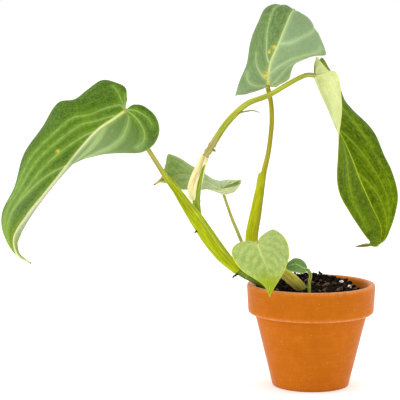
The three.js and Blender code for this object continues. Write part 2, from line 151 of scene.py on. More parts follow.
class Finish:
    """A procedural surface. Its colour starts from a base and takes covers, one over the other."""

    def __init__(self, name, base, stretch=(1, 1, 1), source=None):
        self.material = bpy.data.materials.new(name)
        self.material.use_nodes = True
        self.tree = self.material.node_tree
        self.shader = self.tree.nodes["Principled BSDF"]
        self.colour = paint(*base)
        self.normal = None
        self.where = self.place(stretch, source)

    def feed(self, socket, value):
        """Link a socket to the value, or set a plain number or colour on it."""
        if isinstance(value, bpy.types.NodeSocket):
            self.tree.links.new(value, socket)
        else:
            socket.default_value = value

    def node(self, kind, inputs, output=0, **settings):
        made = self.tree.nodes.new(kind)
        for key, value in settings.items():
            setattr(made, key, value)
        for key, value in inputs.items():
            self.feed(made.inputs[key], value)
        return made.outputs[output]

    def mark(self, name, output="Fac"):
        """A mark painted on the points of the mesh."""
        return self.node("ShaderNodeAttribute", {}, output, attribute_name=name)

    def place(self, stretch, source=None):
        """Where a point lies on the piece, in metres, or in the mark named as the source."""
        if source:
            found = self.mark(source, "Vector")
        else:
            found = self.node("ShaderNodeTexCoord", {}, "Object")
        return self.node("ShaderNodeMapping", {"Vector": found, "Scale": stretch}, "Vector")

    def tint(self, share, under, over):
        return self.node("ShaderNodeMix", {0: share, 6: under, 7: over}, 2, data_type="RGBA")

    def cover(self, share, colour):
        """Lay a colour over the one made so far, to the given share."""
        over = colour if isinstance(colour, bpy.types.NodeSocket) else paint(*colour)
        self.colour = self.tint(share, self.colour, over)

    def times(self, first, second):
        return self.node("ShaderNodeMath", {0: first, 1: second}, operation="MULTIPLY")

    def ease(self, value, low, high, to_low=0.0, to_high=1.0):
        """The value carried over from one range to another, softly at both ends."""
        inputs = {"Value": value, "From Min": low, "From Max": high, "To Min": to_low, "To Max": to_high}
        return self.node("ShaderNodeMapRange", inputs, "Result", interpolation_type="SMOOTHSTEP")

    def mottle(self, size, detail=3.0, rough=0.55, where=None):
        """Soft random blotches, about size metres across."""
        inputs = {"Vector": where or self.where, "Scale": 1 / size, "Detail": detail, "Roughness": rough}
        return self.node("ShaderNodeTexNoise", inputs, "Fac")

    def blotch(self, size, low, high, to_low=0.0, to_high=1.0, detail=3.0, where=None):
        """The blotches, carried over from one range to another."""
        return self.ease(self.mottle(size, detail, where=where), low, high, to_low, to_high)

    def relief(self, height, depth, strength):
        """Fine relief on top of the relief made so far."""
        inputs = {"Height": height, "Distance": depth, "Strength": strength}
        if self.normal:
            inputs["Normal"] = self.normal
        self.normal = self.node("ShaderNodeBump", inputs, "Normal")

    def done(self, rough, specular=0.5, sheen=0.0, sheen_rough=0.5):
        inputs = self.shader.inputs
        self.feed(inputs["Base Color"], self.colour)
        self.feed(inputs["Roughness"], rough)
        if self.normal:
            self.feed(inputs["Normal"], self.normal)
        inputs["Specular IOR Level"].default_value = specular
        inputs["Sheen Weight"].default_value = sheen
        inputs["Sheen Roughness"].default_value = sheen_rough
        return self.material


def terracotta():
    clay = Finish("terracotta", (178, 94, 2))
    clay.cover(clay.blotch(0.03, 0.3, 0.7), (184, 99, 3))
    clay.cover(clay.blotch(0.006, 0.45, 0.75, 0, 0.22), (204, 116, 28))
    clay.cover(clay.blotch(0.0022, 0.56, 0.72, 0, 0.3, 4), (174, 84, 8))
    rings = clay.mottle(1, 2.0, 0.5, clay.place((60, 60, 900)))
    clay.cover(clay.ease(rings, 0.45, 0.7, 0, 0.1), (214, 130, 54))
    specks = clay.node("ShaderNodeTexVoronoi", {"Vector": clay.where, "Scale": 1 / 0.0021}, "Distance")
    dust = clay.times(clay.ease(specks, 0.1, 0.2, 1, 0), clay.blotch(0.007, 0.56, 0.64, detail=1))
    clay.cover(clay.times(dust, 0.4), (236, 186, 130))
    # Partly rubbed clay, partly painted highlight: the lip and the fillet under the rim band are lightened
    # as if light caught them.
    wear_and_highlight_share = clay.times(clay.mark("wear_and_highlight"), clay.blotch(0.003, 0.3, 0.6, 0.35, 1))
    clay.cover(clay.times(wear_and_highlight_share, 0.55), (232, 152, 84))
    # Darker clay: damp on the inside wall from just above the mix downward, and painted shadow round the
    # foot where it stands on the floor.
    clay.cover(clay.times(clay.mark("damp_and_foot_shadow"), 0.6), (120, 58, 22))
    clay.relief(clay.mottle(0.0009, 5, 0.7), 0.00025, 0.6)
    clay.relief(rings, 0.0002, 0.6)
    clay.relief(dust, 0.0001, 0.5)
    return clay.done(clay.blotch(0.002, 0.3, 0.7, 0.72, 0.95), specular=0.12, sheen=0.4, sheen_rough=0.3)


def hump(offset, width, power=2):
    """One at no offset, falling off softly on both sides."""
    return np.exp(-((offset / width) ** power))


def build_pot():
    outline = rounded_outline(pot_corners, step=1.6)
    radius, height = [np.repeat(column, pot_sides) for column in outline.T]
    angle = np.tile(round_angles(pot_sides), len(outline))
    lift = np.array([
        noise.noise(Vector((r * math.cos(a), r * math.sin(a), h)) * 0.09)
        for r, h, a in zip(radius, height, angle)
    ])
    radius = radius + throwing_wobble * lift
    height = np.where((height > 1) & (height < pot_height - 1), height + 0.1 * lift, height)
    points = np.stack([
        pot_x + radius * np.cos(angle) * MM, pot_y + radius * np.sin(angle) * MM, height * MM,
    ], axis=1)
    faces = shell_faces(len(outline), pot_sides, wrap_rows=True)
    # Painted highlight along the fillet under the rim band, added to the lightened lip below.
    band_edge_highlight = hump(height - band_level - 0.8, 1.4) * (radius > body_radius + 2)
    wear_and_highlight = np.clip(hump(pot_height - height, 1.8) + band_edge_highlight, 0, 1)
    # Painted contact shadow round the foot.
    foot_shadow = hump(height, 1.5) * (radius > foot_radius - 2.6)
    body = foot_radius + (body_radius - foot_radius) * height / band_level
    inner_wall = (radius < body - wall / 2) & (height > floor_level - 1)
    damp_and_foot_shadow = np.clip(inner_wall * np.clip((pot_height - 6 - height) / 5, 0, 1) + 0.5 * foot_shadow, 0, 1)
    piece = make_piece("terracotta_pot", points, faces, [terracotta()], {"wear_and_highlight": wear_and_highlight, "damp_and_foot_shadow": damp_and_foot_shadow})
    settle(piece, "terracotta", "pot")


build_pot()


# ---- Potting mix ----
# A dark, chunky mix of composted bark and peat, heaped a little towards the
# back. It is one crumbly body with loose crumbs and slivers pressed into it.

mix_drop = 8  # how far the mix lies below the lip at the front, in millimetres like the next ones
mix_rise = 5
mix_mound = 5
mix_crown = 7
mix_heap = 2.4
mix_slump = 5.5
mix_rings = 64
mix_sides = 150
loose_crumbs = 520
seeds = np.random.default_rng(7)


def soft_step(value, low, high):
    share = np.clip((value - low) / (high - low), 0, 1)
    return share * share * (3 - 2 * share)


def mix_height(x, y):
    """Height of the top of the mix, from millimetres off the pot's axis. It slumps at the right wall."""
    right, back, out = x / inner_radius, y / inner_radius, np.hypot(x, y) / inner_radius
    heap = mix_heap * soft_step(back, 0.0, 0.75) * (1 - soft_step(right, 0.35, 0.7))
    slump = mix_slump * soft_step(out, 0.72, 0.97) * soft_step(right, 0.3, 0.7)
    rise = mix_rise * soft_step(back, -0.4, 1)
    mound = np.minimum(mix_mound, mix_crown - rise)
    coarse, fine = 2 * math.pi / 18, 2 * math.pi / 9.4
    lumps = np.sin(x * coarse + 1) * np.cos(y * coarse) + np.sin((x - y) * fine) / 2
    shoulder = 1 - soft_step(out, 0.62, 1)
    return pot_height - mix_drop + rise + heap - slump + shoulder * (mound + 0.8 * lumps)


def inner_radius_at(height):
    share = (height - floor_level) / (pot_height - floor_level)
    return foot_radius - wall + (inner_radius - foot_radius + wall) * share


def crumb(centre, half, turn, roughness, seed, level=2):
    """A rough lump: a ball pulled out of shape, as points in millimetres and faces."""
    ball = bmesh.new()
    bmesh.ops.create_icosphere(ball, subdivisions=level, radius=1)
    points = np.array([v.co for v in ball.verts])
    faces = [tuple(v.index for v in f.verts) for f in ball.faces]
    ball.free()
    lift = np.array([noise.fractal(Vector(p) * 1.3 + Vector((seed, 0, 0)), 0.8, 2.0, 3) for p in points])
    points = points * (1 + roughness * lift)[:, None] * np.array(half)
    c, s = math.cos(turn), math.sin(turn)
    tilt = 0.5 * math.sin(seed * 3.7)
    points = points @ np.array([[1, 0, tilt], [0, 1, 0], [-tilt, 0, 1]])
    points = points @ np.array([[c, s, 0], [-s, c, 0], [0, 0, 1]])
    return points + np.array(centre), faces


def potting_mix():
    mix = Finish("potting_mix", (10, 7, 6))
    mix.cover(mix.blotch(0.004, 0.35, 0.7, detail=4), (32, 24, 17))
    mix.cover(mix.ease(mix.mark("shade"), 0.6, 1.0), (124, 88, 58))
    mix.cover(mix.blotch(0.0009, 0.68, 0.73, 0, 0.8, 2), (176, 146, 110))
    mix.relief(mix.mottle(0.0012, 6, 0.75), 0.0008, 0.9)
    return mix.done(mix.blotch(0.002, 0.3, 0.7, 0.7, 1), specular=0.05)


def build_mix():
    share = np.repeat(np.linspace(1, 0.004, mix_rings), mix_sides)
    angle = np.tile(round_angles(mix_sides), mix_rings)
    edge_x, edge_y = share * inner_radius * np.cos(angle), share * inner_radius * np.sin(angle)
    height = mix_height(edge_x, edge_y)
    reach = share * (inner_radius_at(height) - 0.35)
    x, y = reach * np.cos(angle), reach * np.sin(angle)
    crumbs = np.array([
        noise.fractal(Vector((a * 0.33, b * 0.33, 2)), 0.7, 2.1, 4)
        + 0.5 * abs(noise.noise(Vector((a, b, 9)) * 0.8))
        for a, b in zip(x, y)
    ])
    height = height + 1.5 * crumbs
    low = floor_level + 0.3
    low_radius = inner_radius_at(low) - 0.3
    below = angle[:mix_sides]
    wall_ring = [low_radius * np.cos(below), low_radius * np.sin(below), np.full(mix_sides, low)]
    points = [np.vstack([np.stack(wall_ring, axis=1), np.stack([x, y, height], axis=1)])]
    faces = shell_faces(mix_rings + 1, mix_sides)
    shades = [np.zeros(len(points[0]))]
    start = len(points[0])
    for i in range(loose_crumbs):
        far = math.sqrt(seeds.uniform(0, 1)) * 0.95
        turn = seeds.uniform(0, 2 * math.pi)
        a, b = far * inner_radius * math.cos(turn), far * inner_radius * math.sin(turn)
        size = 0.7 + 1.5 * seeds.uniform(0, 1) ** 2
        long, thick = (2.2, 0.4) if i % 5 == 0 else (1.25, 0.75)
        half = (size * long, size * 0.8, size * thick)
        room = inner_radius - 1.2 - half[0]
        out = math.hypot(a, b)
        if out > room:
            a, b = a * room / out, b * room / out
        level = float(mix_height(a, b)) + 0.45 * size + (1.2 if i % 7 == 0 else 0)
        lump, lump_faces = crumb((a, b, level), half, seeds.uniform(0, 6.3), 0.45, i * 1.7)
        points.append(lump)
        faces += [tuple(start + v for v in face) for face in lump_faces]
        shades.append(np.full(len(lump), seeds.uniform(0, 1) ** 1.5))
        start += len(lump)
    points = np.vstack(points) * MM + np.array([pot_x, pot_y, 0])
    marks = {"shade": np.concatenate(shades)}
    settle(make_piece("mix", points, faces, [potting_mix()], marks), "potting_mix", "potting_mix")


build_mix()


# ---- Perlite ----
# Grains of expanded volcanic glass that lie loose in the top of the mix. They
# are white and light, and pitted all over.

loose_pieces = 5


def perlite():
    grain = Finish("perlite", (250, 248, 242))
    grain.cover(grain.blotch(0.0012, 0.4, 0.7, detail=4), (214, 206, 192))
    grain.relief(grain.mottle(0.0007, 4, 0.7), 0.0004, 0.8)
    return grain.done(grain.blotch(0.001, 0.3, 0.7, 0.75, 1))


def build_loose(kind, prefix, finish, roughness, seed_step, first_seed):
    """The loose lumps of one kind, each as large as its CAD node."""
    for number in range(loose_pieces):
        name = f"{kind}_{number + 1}"
        low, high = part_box(name)
        middle = [(a + b) / 2 / MM for a, b in zip(low, high)]
        half = [(b - a) / 2 / MM for a, b in zip(low, high)]
        lump, faces = crumb(middle, half, 0, roughness, seed_step * number + first_seed, 3)
        settle(make_piece(prefix + name, lump * MM, faces, [finish]), kind, name)


build_loose("perlite", "grain_", perlite(), 0.35, 11.3, 2)


# ---- Bark ----
# Chips of composted pine bark that lie loose in the top of the mix. They are
# brown and layered, and each is bent out of shape in its own way.


def bark():
    chip = Finish("bark", (44, 30, 22), (1, 1, 4))
    chip.cover(chip.blotch(0.004, 0.35, 0.65, detail=5), (104, 70, 44))
    chip.cover(chip.blotch(0.0013, 0.6, 0.72, 0, 0.5, 2), (150, 112, 76))
    chip.relief(chip.mottle(0.0016, 5, 0.7), 0.0008, 0.9)
    return chip.done(chip.blotch(0.002, 0.3, 0.7, 0.7, 0.95))


build_loose("bark", "chip_", bark(), 0.4, 5.1, 31)


# ---- Lower stem ----
# The dark green internode that rises from the mix and leans out over the rim,
# smooth and fleshy, with a ringed scar where each leaf was borne.

main_stem_radius = 3.4
cap_rows = 4  # rows that round off each end of a stalk
lower_stem_path = [[34, -5, -18], [24, -6, -9], [13, -8, 0.6], [4, -9, 5.6], [-3, -9, 9.5], [-9, -8, 13.5]]


def from_rim(points):
    """Points in millimetres off the left edge of the pot's rim, in the frame's millimetres."""
    return np.array(points, float) + np.array([pot_x / MM - rim_radius, pot_y / MM, pot_height])


def trace(points, fine=50):
    """A smooth line through points, with as many steps between each two."""
    points = np.array(points, float)
    known = np.vstack([2 * points[0] - points[1], points, 2 * points[-1] - points[-2]])
    step = (np.arange(fine) / fine)[:, None]
    line = []
    for i in range(len(points) - 1):
        a, b, c, d = known[i:i + 4]
        first, middle, last = [math.sqrt(np.linalg.norm(q - p)) for p, q in ((a, b), (b, c), (c, d))]
        leave = ((b - a) / first - (c - a) / (first + middle) + (c - b) / middle) * middle
        arrive = ((c - b) / middle - (d - b) / (middle + last) + (d - c) / last) * middle
        bend = 3 * (c - b) - 2 * leave - arrive
        line.append(b + leave * step + bend * step ** 2 + (2 * (b - c) + leave + arrive) * step ** 3)
    return np.vstack(line + [points[-1:]])


def pick(values, share):
    """Rows of an evenly spaced table at shares of its length."""
    at = np.asarray(share) * (len(values) - 1)
    return np.stack([np.interp(at, np.arange(len(values)), column) for column in values.T], axis=-1)


def unit(vectors):
    return vectors / np.maximum(np.linalg.norm(vectors, axis=-1, keepdims=True), 1e-12)


def around(angle, centre, width):
    """A ridge at one angle round a stalk, one at its middle."""
    off = np.angle(np.exp(1j * (angle - math.radians(centre))))
    return hump(off, math.radians(width))


def rise_fall(share, start, full, fade, end):
    """Rises from start to full, and falls again from fade to end."""
    return soft_step(share, start, full) * (1 - soft_step(share, fade, end))


def stalk_shape(path, radii, rows, sides, form=None, blunt=0.6):
    """A stalk along a path. Angle 0 is its left side as it climbs, and 270 faces the front."""
    line = trace(path)
    share = np.linspace(0, 1, rows)
    middle, heading = pick(line, share), unit(pick(np.gradient(line, axis=0), share))
    radius = np.interp(share * (len(radii) - 1), np.arange(len(radii)), radii)
    length = np.concatenate([[0], np.cumsum(np.linalg.norm(np.diff(middle, axis=0), axis=1))])
    total = rows + 2 * cap_rows
    row = np.clip(np.arange(total) - cap_rows, 0, rows - 1)
    share, radius, length = [values[row][:, None] for values in (share, radius, length)]
    caps = np.linspace(0.35, 1.45, cap_rows)
    push = np.concatenate([-np.sin(caps[::-1]), np.zeros(rows), np.sin(caps)])[:, None]
    shrink = np.concatenate([np.cos(caps[::-1]), np.ones(rows), np.cos(caps)])[:, None]
    heading = heading[row]
    middle = middle[row] + heading * (blunt * radius * push)
    left = unit(np.cross(heading, np.array([0, 1.0, 0])))
    back = unit(np.cross(left, heading))
    angle = round_angles(sides)[None, :]
    reach = (radius + (form(share, angle, radius) if form else 0)) * shrink + 0 * angle
    way = np.cos(angle)[..., None] * left[:, None] + np.sin(angle)[..., None] * back[:, None]
    points = (middle[:, None] + reach[..., None] * way).reshape(-1, 3)
    faces = [face[::-1] for face in shell_faces(total, sides)]
    skin = np.stack([radius * np.cos(angle), radius * np.sin(angle), length + 0 * angle], axis=-1)
    return points, faces, skin.reshape(-1, 3), (share + 0 * angle).ravel(), (0 * share + angle).ravel()


def stalk_finish(name, pale, deep, edge, rough=0.42, fibre=0.0009, contrast=1.0, aged=(150, 140, 60)):
    """Living green rind with lengthwise fibres. Marks paint its margins, painted shade where shade falls on
    it, and its aged parts.
    """
    rind = Finish(name, pale, (1, 1, 0.05), "skin")
    fibres = rind.mottle(fibre, 2)
    share = rind.ease(fibres, 0.36, 0.66, 0, contrast)
    rind.cover(share, deep)
    broad = rind.blotch(0.006, 0.35, 0.7, 0, 0.45, where=rind.place((1, 1, 0.3), "skin"))
    rind.cover(broad, [0.6 * a + 0.4 * b for a, b in zip(pale, deep)])
    rind.cover(rind.mark("aged"), rind.tint(share, paint(*aged), paint(*[0.84 * v for v in aged])))
    # Painted shade: the shade mark darkens parts of each stalk where shade falls, along one side and towards
    # the ends that go down into the pot.
    rind.cover(rind.mark("shade"), [0.55 * v for v in deep])
    rind.cover(rind.mark("edge"), edge)
    specks = rind.blotch(0.0008, 0.68, 0.76, 0, 0.35, 1, rind.place((1, 1, 0.6), "skin"))
    rind.cover(specks, [min(255, v + 30) for v in pale])
    rind.relief(fibres, 0.0003, 0.7)
    return rind.done(rind.ease(fibres, 0.3, 0.7, rough - 0.08, rough + 0.12), specular=0.1)


def build_stalk(name, node, slot, path, radii, rows, sides, finish,
                form=None, edge=None, shade=None, aged=None, blunt=0.6, placed=from_rim):
    points, faces, skin, share, angle = stalk_shape(placed(path), radii, rows, sides, form, blunt)
    marks = {"skin": skin * MM}
    for kind, painted in (("edge", edge), ("shade", shade), ("aged", aged)):
        marks[kind] = np.clip(painted(share, angle), 0, 1) if painted else np.zeros(len(points))
    settle(make_piece(name, points * MM, faces, [finish], marks), slot, node)


def ringed(places, width, height):
    """Raised scars round a stem."""
    def form(share, angle, radius):
        rise = sum(hump(share - at - 0.008 * np.sin(angle), width) for at in places)
        return height * rise + 0.05 * radius * np.sin(3 * angle + 9 * share)
    return form


build_stalk(
    "lower_stem", "stem_lower", "stem", lower_stem_path, [main_stem_radius] * 6, 90, 40,
    stalk_finish("stem_rind", (116, 140, 48), (58, 84, 24), (150, 160, 90), 0.4),
    form=ringed([0.3, 0.72], 0.02, 0.35),
    edge=lambda share, angle: 0.5 * hump(share - 0.72, 0.012),
    shade=lambda share, angle: 0.7 * soft_step(0.45 - share, 0, 0.3),
)


# ---- Old stem ----
# The thick, pale stem lying on the mix. It is the oldest part of the shoot, so
# its rind has bleached to straw and gone brown along its shaded side.

old_stem_radius = 4.7
old_stem_path = [[6, -14, 20], [17, -16, 18.5], [28, -18, 13.5], [37, -20, 7], [46, -22, -2], [53, -23, -12]]
build_stalk(
    "old_stem", "stem_old", "old_stem", old_stem_path,
    old_stem_radius * np.array([0.9, 1, 1, 1.05, 1, 0.9]), 100, 44,
    stalk_finish("old_rind", (214, 206, 96), (168, 160, 44), (228, 222, 146), 0.5),
    form=ringed([0.34, 0.6], 0.012, 0.3),
    edge=lambda share, angle: 0.6 * hump(share - 0.34, 0.01) + 0.3 * around(angle, 180, 30),
    shade=lambda share, angle: (
        0.75 * soft_step(share, 0.6, 0.8) + 0.25 * around(angle, 0, 35) * soft_step(share, 0.2, 0.5)),
    aged=lambda share, angle: 0.7 * around(angle, 250, 22) * soft_step(share, 0.25, 0.45),
)


# ---- Upper stem ----
# The youngest internode. It grows out of the left leaf's sheath, turns upright,
# and carries the stalk of the right-hand leaf at its top.

upper_stem_radius = 3.3
upper_stem_path = [
    [-9.3, -8, 14], [-21, -9, 25.5], [-33, -10, 41], [-40.5, -6, 54],
    [-43, -2, 67], [-42.5, -1, 78], [-40, -1, 93], [-36.4, -2, 107.8],
]
build_stalk(
    "upper_stem", "stem_upper", "stem", upper_stem_path,
    upper_stem_radius * np.array([0.7, 0.85, 0.9, 1, 1, 0.95, 0.8, 0.75]), 110, 36,
    stalk_finish("young_rind", (158, 178, 62), (106, 134, 22), (200, 206, 140), 0.4),
    form=ringed([0.62, 0.97], 0.01, 0.35),
    edge=lambda share, angle: 0.5 * hump(share - 0.97, 0.012),
)


# ---- Bract ----
# A papery leaf-like scale that wrapped the bud. It is cream, ribbed lengthwise,
# open down one side, and drying to grey along that edge.

bract_path = [[-44.6, -2, 75.6], [-44.2, -1.8, 82], [-42.2, -1.6, 90], [-39.6, -1.6, 98], [-36.8, -2, 107]]
bract_open = 214  # degrees round the stem, where its two edges stand apart


def bract_form(share, angle, radius):
    ribs = 0.12 * np.sin(17 * angle) + 0.08 * np.sin(31 * angle + 1)
    gap = -5.5 * around(angle, bract_open, 40) * (1 - soft_step(share, 0.72, 0.95))
    rolled = 0.7 * around(angle, bract_open + 60, 11) + 0.5 * around(angle, bract_open - 60, 12)
    keel = 0.5 * around(angle, 20, 20) * soft_step(share, 0.1, 0.4)
    return ribs + gap + (rolled + keel) * rise_fall(share, 0, 0.15, 0.85, 1)


build_stalk(
    "papery_bract", "cataphyll", "bract", bract_path,
    upper_stem_radius + np.array([2.0, 2.9, 2.4, 1.3, 0.4]), 90, 120,
    stalk_finish(
        "bract_paper", (254, 246, 196), (232, 218, 144), (168, 150, 112), 0.55, 0.0007, 0.8, (214, 190, 96)),
    form=bract_form,
    edge=lambda share, angle: (
        0.8 * around(angle, bract_open + 56, 9) * soft_step(share, 0.5, 0.7)
        + 0.4 * soft_step(share, 0.9, 1) * around(angle, 200, 60)),
    aged=lambda share, angle: 0.6 * around(angle, 290, 16) * soft_step(share, 0.1, 0.5),
    blunt=0.9,
)


# ---- Left leaf's stalk ----
# A long stalk whose lower half is a broad sheath, open on its upper side, with
# a thin pale wing along each margin. The next internode comes out of it.

stalk_tip_radius = 1.9
left_stalk_path = [
    [-8.6, -8, 13], [-21, -9, 25], [-33, -11, 41], [-43, -12, 56], [-52, -13, 69], [-60, -14, 81],
    [-69, -15, 93], [-76, -15, 104], [-83, -15, 115], [-93, -16, 133], [-102, -21.4, 149],
]


def wings_at(angle, opening, spread):
    """The ridges at both margins of a sheath's opening."""
    return around(angle, opening - spread, 7) + around(angle, opening + spread, 7)


def sheath(opening, end, spread=30, wing=1.3, groove=0.8, tongue=0.0):
    """The open side of a sheath: two wings with a groove between, ending in a pointed tongue."""
    def form(share, angle, radius):
        point = np.clip((share - end + 0.16) / 0.15, 0, 1) ** 1.6 * np.clip((end - share) / 0.008, 0, 1)
        tip = tongue * point * around(angle, opening, 11)
        strength = rise_fall(share, 0.02, 0.12, end - 0.07, end + 0.03)
        peak = 1 + 0.8 * hump(share - end + 0.06, 0.05)
        wings = wings_at(angle, opening, spread)
        strands = 0.1 * np.sin(23 * angle) + 0.07 * np.sin(37 * angle + 2)
        hollow = around(angle, opening, spread * 0.75)
        flat = strength * (wing * peak * wings - groove * hollow + strands)
        return flat * (1 - 0.8 * point) + tip + 0.04 * radius * np.sin(2 * angle + 8 * share)
    return form


def sheath_edge(opening, end, spread=30, bright=0.85):
    """The pale margins of the sheath's two wings."""
    def edge(share, angle):
        strength = rise_fall(share, 0.02, 0.12, end - 0.03, end + 0.04)
        return bright * strength * wings_at(angle, opening, spread)
    return edge


build_stalk(
    "left_stalk", "petiole_left", "leaf_stalk", left_stalk_path,
    [4.4, 5.5, 5.9, 5.4, 4.2, 3.1, 2.4, 2.1, 2, stalk_tip_radius, stalk_tip_radius], 220, 144,
    stalk_finish(
        "left_stalk_rind", (184, 194, 8), (132, 150, 2), (206, 214, 104), 0.38, aged=(188, 176, 84)),
    form=sheath(200, 0.6, 32, 0.9, 0.5, tongue=1.4), edge=sheath_edge(200, 0.6, 32, 0.45),
    shade=lambda share, angle: (
        0.3 * soft_step(share, 0.5, 0.75) * around(angle, 200, 40)
        + 0.3 * around(angle, 225, 26) * rise_fall(share, 0.3, 0.42, 0.55, 0.62)
        + 0.4 * around(angle, 300, 22) * rise_fall(share, 0.3, 0.45, 0.62, 0.8)),
    aged=lambda share, angle: soft_step(share, 0.52, 0.72) * (1 - 0.5 * around(angle, 180, 40)),
)


# ---- Upright leaf's stalk ----
# It stands on the old stem, sheathed for half its length like the left one. The
# sheath ends in a short pointed tongue on the left.

upright_stalk_path = [
    [6, -14, 22], [4, -12, 31], [4, -10, 43], [7, -8, 60], [10, -6, 76], [14, -3, 95],
    [18, 0, 112], [20, 2, 127], [21, 4, 139], [20, 5, 155], [17, 2.8, 168.2],
]
build_stalk(
    "upright_stalk", "petiole_top", "leaf_stalk", upright_stalk_path,
    [4.4, 5.1, 5.1, 4.7, 3.9, 2.5, 2.1, 2, 2, stalk_tip_radius, stalk_tip_radius], 220, 144,
    stalk_finish(
        "upright_stalk_rind", (186, 190, 0), (156, 164, 0), (214, 216, 90), 0.38, aged=(168, 156, 40)),
    form=sheath(0, 0.5, 26, 0.9, 0.4, tongue=1.9), edge=sheath_edge(0, 0.5, 26, 0.6),
    shade=lambda share, angle: 0.45 * soft_step(share, 0.08, 0.3) * around(angle, 190, 40),
    aged=lambda share, angle: (
        soft_step(share, 0.42, 0.62) + 0.8 * around(angle, 205, 50) * soft_step(share, 0.1, 0.3)),
)


# ---- Right leaf's stalk ----
# It leaves the top of the upper stem, arches over to the right, and swells a
# little into a joint where the blade hangs from it.

right_stalk_path = [
    [-36.2, -2, 107.9], [-29, -5, 120], [-21, -8, 133], [-12, -9, 144], [0, -9, 154], [18, -7, 161],
    [32, -5, 169], [43, -3, 175], [50, -1, 177.6], [57, 0, 177.4],
]
right_sheath = sheath(150, 0.42, 34, 0.5, 0.35)


def warty(share, angle, radius):
    """The sheath, with corky nubs low down where the bract was torn off."""
    nubs = np.clip(np.sin(170 * share + 2 * np.sin(3 * angle)) * np.sin(4 * angle + 40 * share), 0, 1)
    return right_sheath(share, angle, radius) + 0.8 * nubs * (1 - soft_step(share, 0.08, 0.17))


build_stalk(
    "right_stalk", "petiole_right", "leaf_stalk", right_stalk_path,
    [2.5, 2.6, 2.5, 2.5, 2.5, 2.3, 2.1, 2, 1.9, 2.0], 180, 72,
    stalk_finish(
        "right_stalk_rind", (180, 190, 44), (140, 152, 14), (216, 220, 120), 0.4, aged=(194, 184, 108)),
    form=warty, edge=sheath_edge(150, 0.42, 34),
    shade=lambda share, angle: (
        0.5 * around(angle, 180, 55) * soft_step(share, 0.3, 0.5)
        + 0.35 * around(angle, 205, 45) * (1 - soft_step(share, 0.3, 0.4))),
    aged=lambda share, angle: (
        0.22 + 0.4 * soft_step(share, 0.75, 0.95) + 0.8 * (1 - soft_step(share, 0.12, 0.2))),
)


# ---- Small stalks ----
# The stalks of the front and rear leaves, thin and round, and the stout hooked
# one of the young leaf, which rises straight out of the mix.

small_stalk_radius = 1.4
front_stalk_path = [[10, -17, 20], [10, -26, 27], [9, -35, 34], [7, -43.8, 41]]
rear_stalk_path = [
    [1, -8, 7], [0, -6, 19], [-3, 0, 31], [-8, 4, 44], [-12, 9, 53], [-16, 14, 64], [-20.6, 19.2, 77],
]
young_stalk_path = [[-4, 11, -6], [-4, 11, 7], [-4, 11.5, 14], [-3, 12.5, 21], [-5.2, 13.6, 25]]
small_rind = stalk_finish(
    "small_stalk_rind", (150, 164, 66), (108, 124, 34), (206, 208, 130), aged=(208, 194, 112))


def from_front(points):
    """Points in millimetres off the front edge of the mix."""
    return np.array(points, float) + np.array([pot_x / MM, pot_y / MM - inner_radius, pot_height - mix_drop])


def slim_form(share, angle, radius):
    return 0.12 * radius * np.sin(2 * angle + 5 * share) + 0.25 * hump(share, 0.05)


build_stalk(
    "front_stalk", "petiole_front", "leaf_stalk", front_stalk_path,
    small_stalk_radius * np.array([1.2, 1, 1, 1]), 60, 28, small_rind, form=slim_form,
    aged=lambda share, angle: 0.5 + 0 * share)
build_stalk(
    "rear_stalk", "petiole_rear", "leaf_stalk", rear_stalk_path,
    small_stalk_radius * np.array([1.2, 1.1, 1, 1, 1, 1, 1]), 100, 28, small_rind, form=slim_form,
    aged=lambda share, angle: 0.6 + 0.2 * around(angle, 200, 60))
build_stalk(
    "young_stalk", "petiole_young", "leaf_stalk", young_stalk_path,
    small_stalk_radius * np.array([0.9, 0.9, 0.8, 1.1, 1.2]), 60, 28, small_rind, form=slim_form,
    placed=from_front)


# ---- Left leaf ----
# The largest blade: heart-shaped, velvety, hanging from the stalk with its far
# half folded back. Its veins are sunk in the upper face and pale.

left_leaf = dict(
    rib=[
        [-102, -22, 149], [-112, -25, 142], [-124, -27, 134], [-139.5, -30, 117.5], [-156.5, -34, 96],
        [-170, -37, 79.5], [-183, -40, 63.5], [-194, -43, 44], [-190, -46, 30], [-179, -48, 24],
    ],
    left=[
        [-95, -24, 154], [-86, -28, 153], [-77, -30, 145], [-74, -28, 132], [-78, -23, 121],
        [-88, -18, 114], [-104, -14, 112], [-124, -10, 111], [-140, -4, 107], [-158, 6, 95],
        [-172, 10, 79], [-183, 4, 62], [-192, -14, 45], [-192, -34, 33],
    ],
    right=[
        [-100, -20, 158], [-103, -14, 168], [-112, -8, 172], [-123, -6, 173], [-135, -8, 166],
        [-145, -13, 158], [-158, -8, 155], [-173, -8, 135], [-187, -10, 113], [-197, -16, 84],
        [-205, -24, 63], [-204, -34, 47], [-195, -42, 33],
    ],
    lobes=(0.22, 0.17), camber=([0.08, 0.08, 0.06, 0.02, 0.01, 0.02, 0.04], 0.1),
    rib_width=1.3, ruffle=1.1, pillow=1.8, strip=(1, 0), spots=[(1, 0.3, 0.52, 1.6)],
    painted_sheen=([0.0, 0.12, 0.8, 1.0, 0.5, 0.1], [0.0, 0.05, 0.05, 0.1, 0.25, 0.1]),
    veins=(
        [(0.04, 0.15, 0.8, 1.2), (0.12, 0.28, 0.84, 1.2), (0.23, 0.46, 0.88, 1.2),
         (0.34, 0.66, 0.88, 1.1), (0.55, 0.9, 0.85, 1.1)],
        [(0.03, 0.07, 0.7, 1.2), (0.12, 0.17, 0.75, 1.2), (0.2, 0.74, 0.86, 1.15),
         (0.28, 0.87, 0.8, 1.1), (0.38, 0.93, 0.62, 1.1), (0.55, 0.975, 0.72, 1.1)],
    ),
)
lobe_rows = 0.25  # the share of a blade's rows that fans out into its basal lobes
edge_half = 0.12  # half the blade's thickness at its margin, in millimetres
most_half = 0.26
vein_width = 0.75
fine_width = 0.55
vein_shading_width = 3.2
margin_width = 0.7
strip_width = 9
